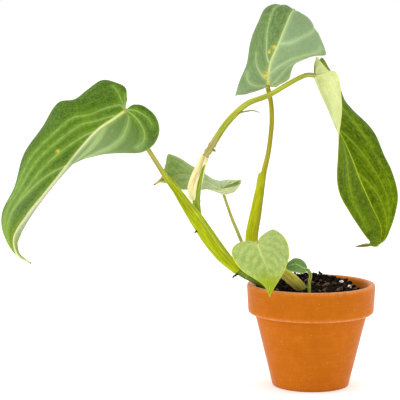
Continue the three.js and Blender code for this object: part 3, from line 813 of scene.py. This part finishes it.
vein_courses = [  # where a side vein leaves the midrib, where it ends, how far out, how bent
    (0.04, 0.12, 0.8, 1.3), (0.12, 0.24, 0.85, 1.3), (0.2, 0.42, 0.88, 1.2), (0.29, 0.6, 0.9, 1.1),
    (0.4, 0.74, 0.88, 1.1), (0.54, 0.86, 0.86, 1.1), (0.7, 0.95, 0.84, 1.1),
]
usual_leaf = dict(
    camber=(0.08, 0.08), ruffle=1.0, pillow=0.7, vein_scale=1.0, strip=(0, 0), spots=(),
    veins=(vein_courses, vein_courses),
)
usual_look = dict(
    fleck_share=0.35, interveinal_shade_share=0.0, vein_light_share=0.35, network=0.2, fine_share=0.3, vein_share=0.75,
    speck_share=0.4, margin_share=0.6, tip=None, tip_from=0.75, dry_from=0.985, dry=(150, 110, 60),
    rough=0.5, gloss=0.1,
)


def length_share(line):
    run = np.concatenate([[0], np.cumsum(np.linalg.norm(np.diff(line, axis=0), axis=1))])
    return run / run[-1]


def spread_out(values, share):
    """Values spaced evenly along a blade, read at the given shares of it."""
    values = np.atleast_1d(values)
    return np.interp(share, np.linspace(0, 1, len(values)), values)


def along_line(line, share):
    """A point at a share of a line's length, and the direction there."""
    at = np.interp(share, length_share(line), np.linspace(0, 1, len(line)))
    return pick(line, at), unit(pick(np.gradient(line, axis=0), at))


def blade_sheet(leaf, rib, placed):
    """The blade's middle sheet, by its side, the reach out from the midrib, and the share along."""
    margins = [trace(placed(leaf[side] + leaf["rib"][-1:])) for side in ("left", "right")]

    def sheet(side, reach, along):
        in_lobe = np.clip(along / lobe_rows, 0, 1)
        beyond = np.clip((along - lobe_rows) / (1 - lobe_rows), 0, 1)
        lobe = leaf["lobes"][side]
        root, _ = along_line(rib, beyond)
        edge, forward = along_line(margins[side], lobe * in_lobe + (1 - lobe) * beyond)
        chord = edge - root
        up = unit(np.cross(forward, chord)) * (1 if side == 0 else -1)
        span = np.linalg.norm(chord, axis=-1)
        bulge = spread_out(leaf["camber"][side], along) * span * 4 * reach * (1 - reach)
        wave = leaf["ruffle"] * reach ** 3 * np.sin(2 * math.pi * (5 * along + 0.3 * side))
        fade = np.clip(span / 12, 0, 1)
        return root + chord * reach[..., None] + up * (bulge + wave * fade)[..., None], up, span

    return sheet


def near_lines(points, lines):
    """How far each point is from the nearest of some lines, in millimetres, and that line's size there."""
    samples = np.vstack([line for line, _ in lines])
    sizes = np.concatenate([size for _, size in lines])
    tree = kdtree.KDTree(len(samples))
    for i, sample in enumerate(samples):
        tree.insert(sample, i)
    tree.balance()
    found = [tree.find(point)[1:] for point in points]
    return np.array([f[1] for f in found]), sizes[[f[0] for f in found]]


def vein_lines(sheet, side, courses, thick, thin):
    """The side veins on one half of the blade, each a line and its size along it."""
    lines = []
    step = np.linspace(0, 1, 110)
    for start, end, reach, bend in courses:
        points, _, _ = sheet(side, reach * (1 - (1 - step) ** 1.6), start + (end - start) * step ** bend)
        lines.append((points, thick + (thin - thick) * step))
    return lines


def between(courses, pieces):
    """Finer veins that fill the space between the side veins."""
    finer = []
    for first, second in zip(courses[1:], courses[2:]):
        for k in range(1, pieces):
            share = k / pieces
            finer.append([a + (b - a) * share for a, b in zip(first, second)])
    return finer


def half_blade(leaf, sheet, side, rib_line, columns, rows):
    """One half of the blade as grids of numbers: its points and what is painted on them."""
    even = np.linspace(0, 1, columns + 1)
    share = (1 - np.cos(even * math.pi)) / 2 * 0.5 + even * 0.5
    reach, along = np.meshgrid(share, np.linspace(0, 1, rows + 1))
    points, up, span = sheet(side, reach, along)
    courses = leaf["veins"][side]
    scale = leaf["vein_scale"]
    rib_size = np.linspace(leaf["rib_width"], 0.35, len(rib_line))
    found = [
        near_lines(points.reshape(-1, 3), lines) for lines in (
            vein_lines(sheet, side, courses, 1.0, 0.45),
            vein_lines(sheet, side, between(courses, 4), 1.0, 1.0),
            [(rib_line, rib_size)],
        )
    ]
    (vein_d, vein_size), (fine_d, _), (rib_d, rib_s) = [[v.reshape(reach.shape) for v in f] for f in found]
    margin_d = (1 - reach) * span
    nearest = np.minimum(vein_d, rib_d)
    vein = hump(vein_d, vein_width * vein_size * scale) * (0.55 + 0.45 * vein_size)
    rib = hump(rib_d, rib_s, 4)
    spots = 0 * along
    for spot_side, spot_reach, spot_along, size in leaf["spots"]:
        if spot_side == side:
            centre, _, _ = sheet(side, np.array([spot_reach]), np.array([spot_along]))
            spots = np.maximum(spots, np.exp(-(((points - centre[0]) / size) ** 2).sum(axis=-1)))
    strip = leaf["strip"][side] * rise_fall(along, 0.5, 0.62, 0.93, 1)
    inset = np.clip(margin_d / 6, 0, 1)
    lift = leaf["pillow"] * (1 - hump(nearest, 4 * scale)) * inset - 0.25 * vein * inset - 0.35 * rib
    return dict(
        points=points + up * lift[..., None],
        up=up,
        half=np.clip(edge_half + margin_d * 0.12, edge_half, most_half),
        keel=rib * np.sqrt(np.clip(1 - (rib_d / (1.15 * rib_s)) ** 2, 0, 1)) * rib_s * 0.9,
        vein=vein,
        vein_shading=hump(nearest, vein_shading_width * scale),
        fine=hump(fine_d, fine_width * scale),
        rib=rib,
        margin=hump(margin_d, margin_width),
        painted_sheen=spread_out(leaf["painted_sheen"][side], along),
        spots=spots,
        strip=strip * np.maximum(hump(rib_d, strip_width, 4), 0.8 * hump(margin_d, 4)),
        along=along,
        skin=np.stack([(1 if side else -1) * reach * span, along * 150, 0 * reach], axis=-1) * MM,
    )


def leaf_shape(leaf, placed, columns, rows):
    """A thin closed blade, and what is painted on its points."""
    rib_line = trace(placed(leaf["rib"]))
    sheet = blade_sheet(leaf, rib_line, placed)
    left, right = [half_blade(leaf, sheet, side, rib_line, columns, rows) for side in (0, 1)]
    painted = {}
    for name in left:
        values = np.concatenate([left[name][:, ::-1], right[name][:, 1:]], axis=1)
        painted[name] = values.reshape(-1, 3) if values.ndim == 3 else values.ravel()
    width = 2 * columns + 1
    row, column = [v.ravel() for v in np.meshgrid(np.arange(rows), np.arange(width - 1), indexing="ij")]
    corner = row * width + column
    quads = np.stack([corner, corner + width, corner + width + 1, corner + 1], axis=1)
    rounded = np.round(painted["points"], 3)
    _, first, same = np.unique(rounded, axis=0, return_index=True, return_inverse=True)
    painted = {name: values[first] for name, values in painted.items()}
    points, up, half, keel = [painted.pop(name) for name in ("points", "up", "half", "keel")]
    faces = []
    for quad in same.ravel()[quads].tolist():
        kept = [v for i, v in enumerate(quad) if v != quad[i - 1]]
        if len(set(kept)) == len(kept) and len(kept) > 2:
            faces.append(tuple(kept))
    normal = np.zeros_like(points)
    for face in faces:
        a, b, c = points[face[0]], points[face[1]], points[face[2]]
        turn = np.cross(b - a, c - a)
        for v in face:
            normal[v] += turn
    if (normal * up).sum() < 0:
        normal = -normal
        faces = [face[::-1] for face in faces]
    normal = unit(normal)
    count = len(points)
    upper = points + normal * half[:, None]
    lower = points - normal * (half + keel)[:, None]
    edges = {(face[i - 1], v) for face in faces for i, v in enumerate(face)}
    rim = sorted((b, a, a + count, b + count) for a, b in edges if (b, a) not in edges)
    under = [tuple(v + count for v in face[::-1]) for face in faces]
    kinds = [0] * len(faces) + [1] * (len(under) + len(rim))
    marks = {name: np.concatenate([values, values]) for name, values in painted.items()}
    return np.vstack([upper, lower]), faces + under + rim, kinds, marks


def blade_finish(name, look, upper):
    """Living leaf: a cell network, side veins, midrib and margin, each a little paler than the green."""
    look = {**usual_look, **look}
    leaf = Finish(name, look["deep"])
    leaf.cover(leaf.blotch(0.016, 0.3, 0.7), look["green"])
    leaf.cover(leaf.blotch(0.003, 0.42, 0.66, 0, look["fleck_share"], 4), look["light"])
    if upper:
        # Painted sheen: a paler grey-green laid on the upper face where it catches the light.
        leaf.cover(leaf.times(leaf.mark("painted_sheen"), leaf.blotch(0.02, 0.2, 0.6, 0.8, 1)), look["painted_sheen"])
        leaf.cover(leaf.mark("strip"), look["rib"])
    vein_shading, fine, vein, along = [leaf.mark(kind) for kind in ("vein_shading", "fine", "vein", "along")]
    # Painted shading of the pillowed blade: shade laid between the veins, and light along their sides.
    leaf.cover(leaf.ease(vein_shading, 0.1, 0.8, look["interveinal_shade_share"], 0), [0.72 * v for v in look["deep"]])
    leaf.cover(leaf.times(vein_shading, look["vein_light_share"]), look["light"])
    skin = leaf.mark("skin", "Vector")
    warp = leaf.node("ShaderNodeTexNoise", {"Vector": skin, "Scale": 700.0}, "Color")
    bent = leaf.node("ShaderNodeMix", {0: 0.0006, 4: skin, 5: warp}, 1, data_type="VECTOR")
    cells = leaf.node(
        "ShaderNodeTexVoronoi", {"Vector": bent, "Scale": 620.0}, "Distance", feature="DISTANCE_TO_EDGE")
    network = leaf.ease(cells, 0.02, 0.16, 1, 0)
    leaf.cover(leaf.times(network, look["network"]), look["light"])
    leaf.cover(leaf.times(fine, look["fine_share"]), look["light"])
    leaf.cover(leaf.times(vein, look["vein_share"]), look["vein"])
    leaf.cover(leaf.blotch(0.0011, 0.7, 0.76, 0, look["speck_share"], 1), look["vein"])
    leaf.cover(leaf.times(leaf.mark("spots"), leaf.blotch(0.0024, 0.4, 0.55)), (214, 196, 62))
    rib_colour = leaf.tint(leaf.ease(along, 0.2, 0.6), paint(*look["rib_base"]), paint(*look["rib"]))
    leaf.cover(leaf.times(leaf.mark("rib"), 0.95), rib_colour)
    leaf.cover(leaf.times(leaf.mark("margin"), look["margin_share"]), look["margin"])
    if look["tip"]:
        leaf.cover(leaf.ease(along, look["tip_from"], look["tip_from"] + 0.2, 0, 0.8), look["tip"])
    leaf.cover(leaf.ease(along, look["dry_from"], 1.0), look["dry"])
    leaf.relief(network, 0.00012, 0.5)
    leaf.relief(leaf.mottle(0.0008, 3), 0.0001, 0.5)
    sunk = leaf.node("ShaderNodeMath", {0: vein, 1: leaf.times(fine, 0.4)}, operation="ADD")
    leaf.relief(sunk, -0.0003 if upper else 0.0003, 0.6)
    satin = leaf.blotch(0.004, 0.3, 0.7, look["rough"] - 0.06, look["rough"] + 0.1)
    return leaf.done(satin, specular=look["gloss"], sheen=0.01, sheen_rough=0.4)


def build_leaf(name, node, leaf, look, back_look, columns, rows, slot="leaf", placed=from_rim):
    points, faces, kinds, marks = leaf_shape({**usual_leaf, **leaf}, placed, columns, rows)
    finishes = [blade_finish(name + "_face", look, True), blade_finish(name + "_back", back_look, False)]
    settle(make_piece(name, points * MM, faces, finishes, marks, kinds), slot, node)


deep_back = dict(
    deep=(132, 158, 78), green=(152, 176, 98), light=(178, 198, 126), vein=(206, 216, 156),
    rib=(214, 220, 156), rib_base=(226, 226, 170), margin=(200, 210, 140),
    network=0.25, fine_share=0.35, vein_share=0.85, rough=0.55, interveinal_shade_share=0.15,
)
left_look = dict(
    deep=(46, 88, 0), green=(74, 112, 2), light=(120, 154, 26), painted_sheen=(182, 204, 152),
    vein=(166, 192, 112), rib=(236, 230, 200), rib_base=(216, 228, 124), margin=(160, 184, 110),
    rough=0.46, vein_share=0.85, vein_light_share=0.3, fleck_share=0.5, network=0.25, interveinal_shade_share=0.5,
    tip=(120, 146, 20),
)
build_leaf("left_blade", "leaf_left", left_leaf, left_look, deep_back, 60, 210)


# ---- Upright leaf ----
# A leathery blade that stands up from its stalk and nods over backwards at the
# top. Light skims it, and that grey-green sheen is painted into its face; it is
# yellower to the upper right.

upright_leaf = dict(
    rib=[
        [17, 2, 168], [19, -3, 187], [25, -7, 202], [31, -7, 217], [37, 0, 230],
        [42, 14, 231], [45, 28, 220], [44, 38, 205], [40, 42, 187],
    ],
    left=[
        [10, 4, 167], [-1, 8, 164], [-10, 10, 160], [-8, 12, 166], [-2, 16, 183], [3, 18, 202],
        [8, 20, 220], [16, 24, 233], [25, 34, 234], [33, 42, 220], [37, 46, 203],
    ],
    right=[
        [25, 8, 168], [32, 10, 171], [36, 9, 176], [41, 2, 187], [51, -8, 193], [65, -14, 195],
        [62, -4, 205], [58, 12, 215], [53, 26, 212], [48, 38, 198],
    ],
    lobes=(0.2, 0.12), rib_width=1.1, pillow=1.1, vein_scale=0.8,
    painted_sheen=([0.9, 0.5, 0.2, 0.1, 0.05, 0.2], [1.0, 1.0, 0.7, 0.6, 0.2, 0.1]),
    spots=[(0, 0.06, 0.3, 3.2), (0, 0.04, 0.44, 2.6), (1, 0.05, 0.27, 2.2), (0, 0.12, 0.41, 2.0)],
    veins=(
        [(0.04, 0.1, 0.75, 1.2), (0.2, 0.3, 0.8, 1.3), (0.28, 0.4, 0.6, 1.3), (0.36, 0.72, 0.62, 1.5),
         (0.66, 0.9, 0.8, 1.2)],
        [(0.08, 0.14, 0.8, 1.2), (0.17, 0.25, 0.86, 1.2), (0.24, 0.4, 0.88, 1.2), (0.31, 0.52, 0.86, 1.2),
         (0.46, 0.68, 0.8, 1.3), (0.66, 0.9, 0.8, 1.2)],
    ),
)
upright_look = dict(
    deep=(66, 98, 26), green=(88, 118, 44), light=(132, 158, 88), painted_sheen=(178, 202, 160),
    vein=(196, 212, 170), rib=(188, 206, 140), rib_base=(208, 214, 128), margin=(164, 186, 138),
    vein_share=0.8, vein_light_share=0.4, fleck_share=0.5, interveinal_shade_share=0.3,
)
build_leaf("upright_blade", "leaf_top", upright_leaf, upright_look, deep_back, 50, 170)


# ---- Right leaf ----
# A long hanging blade folded along its midrib. Its near half shows the pale
# underside, its far half the deep green face, and its drip tip has dried brown.

right_leaf = dict(
    rib=[
        [57, 0, 177], [63, 4, 163], [71, 8, 146], [77, 9, 132], [83, 7, 120], [89, 4, 107],
        [97, -2, 86], [106, -6, 66], [114, -6, 47], [111, -2, 32], [102, -4, 34], [92, -7, 32],
    ],
    left=[
        [59, 5, 185], [63, 12, 192], [71, 22, 183], [79, 30, 169], [86, 34, 154], [94, 34, 145],
        [104, 30, 135], [112, 24, 124], [118, 14, 109], [124, 4, 94], [128, -4, 76], [126, -8, 63],
        [122, -8, 49], [116, -4, 36], [104, -3, 32],
    ],
    right=[
        [57, -1, 184], [58, -2, 193], [67, -12, 182], [73, -20, 181], [76, -25, 174], [77, -28, 158],
        [77, -28, 141], [76, -24, 126], [75, -18, 110], [75, -16, 93], [78, -16, 77], [86, -17, 62],
        [98, -14, 45], [104, -9, 36], [99, -6, 34],
    ],
    lobes=(0.2, 0.17), camber=(0.06, [0.06, 0.04, -0.03, -0.06, -0.04, 0.02, 0.05, 0.06]),
    rib_width=1.2, ruffle=0.5, pillow=0.8,
    painted_sheen=([0.2, 0.15, 0.1, 0.05, 0.05, 0.05], [0.1, 0.1, 0.35, 0.35, 0.15, 0.05]),
    veins=(
        [(0.05, 0.14, 0.8, 1.2), (0.2, 0.74, 0.84, 1.1), (0.46, 0.84, 0.72, 1.2), (0.63, 0.92, 0.66, 1.2)],
        [(0.06, 0.12, 0.8, 1.2), (0.2, 0.36, 0.86, 1.2), (0.3, 0.55, 0.86, 1.1), (0.45, 0.86, 0.7, 1.1)],
    ),
)
right_look = dict(
    deep=(44, 72, 0), green=(80, 108, 0), light=(132, 156, 0), painted_sheen=(112, 136, 50),
    vein=(150, 174, 44), rib=(196, 212, 64), rib_base=(200, 212, 90), margin=(166, 184, 50),
    rough=0.42, dry_from=0.93, dry=(132, 92, 52), gloss=0.05, fleck_share=0.45, interveinal_shade_share=0.3,
    vein_light_share=0.12,
)
right_back = dict(
    deep=(178, 188, 106), green=(200, 208, 134), light=(216, 222, 168), vein=(190, 200, 120),
    rib=(206, 214, 150), rib_base=(214, 220, 160), margin=(206, 210, 104),
    rough=0.55, dry_from=0.93, dry=(132, 92, 52),
)
build_leaf("right_blade", "leaf_right", right_leaf, right_look, right_back, 52, 200)


# ---- Front leaf ----
# A small juvenile blade hanging in front of the rim, dull green with a brighter
# tip. Its thin margin is painted pale yellow, as light glowing through it.

front_leaf = dict(
    rib=[[7, -44, 41], [10, -49, 32], [14, -53, 23], [17, -56, 12], [17, -60, -2]],
    left=[
        [11, -40, 46], [16, -38, 49], [21, -37, 51], [28, -38, 47], [33, -40, 39],
        [34, -43, 30], [31, -47, 21], [26, -52, 12], [21, -57, 5],
    ],
    right=[
        [1, -42, 41], [-6, -40, 41], [-12, -40, 37], [-14, -43, 32], [-11, -46, 25],
        [-5, -49, 18], [5, -53, 12], [13, -57, 6],
    ],
    lobes=(0.33, 0.28), rib_width=0.9, ruffle=0.3, pillow=0.35, vein_scale=0.6,
    painted_sheen=([0.6, 0.6, 0.5, 0.15, 0.0], [0.5, 0.5, 0.4, 0.1, 0.0]),
)
# Painted light: the strong pale yellow margin stands in for light shining through the thin edge of the
# blade.
front_look = dict(
    deep=(84, 122, 2), green=(122, 152, 14), light=(188, 204, 112), painted_sheen=(170, 188, 124),
    vein=(196, 208, 130), rib=(196, 210, 120), rib_base=(210, 218, 150), margin=(220, 220, 84),
    margin_share=0.9, rough=0.48, vein_share=0.4, fine_share=0.15, fleck_share=0.65, speck_share=0.8,
    tip=(150, 166, 0), tip_from=0.62, interveinal_shade_share=0.1, vein_light_share=0.2, network=0.35,
)
build_leaf("front_blade", "leaf_front", front_leaf, front_look, deep_back, 34, 110, slot="young_leaf")


# ---- Rear leaf ----
# A blade behind the upper stem, seen almost edge on: grey-green above, where a
# sheen is painted, with a pale underside where its front lobe turns over.

rear_leaf = dict(
    rib=[[-21, 20, 78], [-32, 22, 84], [-43, 25, 88], [-54, 25, 91], [-66, 22, 89], [-80, 16, 83]],
    left=[
        [-14, 13, 83.5], [-9, 9, 86.6], [-5, 6, 88.4], [-5.4, 2, 86.6], [-9, -2, 84], [-14, -4, 82.3],
        [-21, -5, 81.5], [-33, 0, 80.5], [-43, 11, 79], [-54, 13, 79], [-64, 14, 82], [-73, 15, 85],
    ],
    right=[
        [-17, 24, 83], [-7, 30, 85], [-12, 40, 85], [-24, 50, 83], [-35, 52, 86], [-45, 48, 95],
        [-54, 42, 101], [-63, 36, 107], [-68, 30, 108], [-70, 25, 100], [-73, 20, 90],
    ],
    lobes=(0.3, 0.3), camber=([-0.14, -0.2, -0.16, -0.02, 0.05, 0.08], 0.08),
    rib_width=1.0, ruffle=0.5, pillow=0.5, vein_scale=0.7,
    painted_sheen=([1, 1, 0.6, 0.1, 0.1], [1, 0.9, 0.3, 0.1, 0.1]),
)
rear_look = dict(
    deep=(62, 98, 6), green=(94, 126, 30), light=(144, 168, 80), painted_sheen=(208, 220, 184),
    vein=(158, 182, 116), rib=(176, 192, 120), rib_base=(206, 214, 150), margin=(204, 212, 150),
    dry_from=0.86, dry=(224, 200, 104), vein_share=0.5, fleck_share=0.5,
)
rear_back = dict(right_back, deep=(184, 198, 142), green=(196, 208, 156), light=(214, 222, 176))
build_leaf("rear_blade", "leaf_rear", rear_leaf, rear_look, rear_back, 36, 120)


# ---- Young leaf ----
# The smallest blade, still half folded, just opening at the front of the mix.
# It is dark green above, and the hooked stalk carries it.

young_leaf = dict(
    rib=[[-6, 13.6, 25], [-10, 12.5, 27], [-16, 11.5, 30], [-20, 10.5, 29], [-24, 9.5, 27]],
    left=[[-6, 10.5, 24], [-10, 6.5, 23], [-16, 5.5, 24], [-21, 7.5, 25]],
    right=[[-6, 17.5, 28], [-9, 19.5, 32], [-15, 19.5, 34], [-20, 16.5, 32], [-23, 12.5, 30]],
    lobes=(0.12, 0.12), camber=(0.09, 0.09), rib_width=0.9, ruffle=0.2, pillow=0.25, vein_scale=0.4,
    painted_sheen=([0.2, 0.2, 0.1], [0.2, 0.2, 0.1]),
)
young_look = dict(
    deep=(30, 72, 4), green=(54, 96, 18), light=(112, 148, 62), painted_sheen=(140, 170, 116),
    vein=(150, 178, 110), rib=(170, 192, 120), rib_base=(200, 212, 140), margin=(170, 190, 120),
    rough=0.42, vein_share=0.5, vein_light_share=0.3,
)
build_leaf("young_blade", "leaf_young", young_leaf, young_look, deep_back, 20, 60, placed=from_front)


# ---- Dry pieces ----
# The dried tip of the right stalk's sheath, the spur of an old scar, and the
# dark stubs of two aerial roots. All are dead tissue, brown and wrinkled.

dry_stubs = {
    "sheath_thread": (
        "withered_tip",
        [[-16, -8.6, 140.2], [-8, -10.5, 145.6], [-1, -10, 147.6], [5, -9, 148], [10, -8.5, 146.5]],
        [1.1, 0.7, 0.6, 0.45, 0.3],
    ),
    "scar_point": ("scar_spur", [[-32, -4, 116], [-28.6, -5, 114.4], [-26.6, -5.4, 113.6]], [1.4, 1.2, 0.4]),
    "upper_root": (
        "aerial_root_upper", [[-39, -13.5, 49], [-43, -15, 46.6], [-44.6, -15.6, 45.2]], [0.8, 0.7, 0.4]),
    "lower_root": (
        "aerial_root_lower", [[-7, -9.6, 10], [-10.6, -11, 8], [-12.4, -11.6, 6.6]], [1, 0.8, 0.5]),
}


def wrinkled(share, angle, radius):
    return radius * (0.16 * np.sin(5 * angle + 20 * share) + 0.1 * np.sin(9 * angle - 33 * share))


dry_rind = stalk_finish("dry_rind", (172, 158, 84), (128, 108, 52), (196, 172, 120), 0.75, 0.0006)
root_rind = stalk_finish("root_rind", (86, 64, 42), (38, 28, 20), (120, 92, 60), 0.7, 0.0006)
for name, (node, path, radii) in dry_stubs.items():
    rind = root_rind if "root" in name else dry_rind
    build_stalk(name, node, "dry_tissue", path, radii, 50, 24, rind, form=wrinkled)


# ---- Floor, light and camera ----
# A plain white floor under soft white light from both sides and above. The
# camera looks at the plant from the front and a little from above.

floor_half = 30.0


def studio_floor():
    ground = Finish("floor", (252, 252, 252))
    ground.cover(ground.blotch(0.4, 0.3, 0.7, 0.97, 1), (255, 255, 255))
    ground.shader.inputs["Emission Color"].default_value = (1, 1, 1, 1)
    ground.shader.inputs["Emission Strength"].default_value = 0.2
    corners = [(x * floor_half, y * floor_half, 0) for x, y in ((-1, -1), (1, -1), (1, 1), (-1, 1))]
    make_piece("floor", corners, [(0, 1, 2, 3)], [ground.done(0.9)])


studio_floor()


def add_object(name, data, at, aim):
    """A light or camera that stands at one point and looks at another."""
    holder = show(name, data)
    holder.location = at
    holder.rotation_euler = (Vector(aim) - Vector(at)).to_track_quat("-Z", "Y").to_euler()
    return holder


def soft_light(name, at, aim, size, power):
    lamp = bpy.data.lights.new(name, "AREA")
    lamp.shape = "DISK"
    lamp.size = size
    lamp.energy = power
    add_object(name, lamp, at, aim)


plant_middle = (0, 0, 0.17)
soft_light("left_light", (-1.7, -0.1, 0.7), plant_middle, 1.0, 12)
soft_light("right_light", (1.7, 0.1, 0.5), plant_middle, 1.0, 5.5)
soft_light("top_light", (0.2, 0.2, 2.2), plant_middle, 2.0, 9)

world = bpy.data.worlds.new("studio")
bpy.context.scene.world = world
world.use_nodes = True
world.node_tree.nodes["Background"].inputs["Color"].default_value = (1, 1, 1, 1)
world.node_tree.nodes["Background"].inputs["Strength"].default_value = 1.0
bpy.context.scene.view_settings.view_transform = "Standard"

view_x = pot_x - 0.095
camera_distance = 1.4
camera_height = 0.312
aim_height = 0.1595
camera_data = bpy.data.cameras.new("camera")
camera_data.lens = 148.95
camera_data.sensor_width = 36
camera_data.clip_start = 0.05
camera_data.clip_end = 50
camera_at = (view_x, pot_y - camera_distance, camera_height)
camera = add_object("camera", camera_data, camera_at, (view_x, pot_y, aim_height))
bpy.context.scene.camera = camera
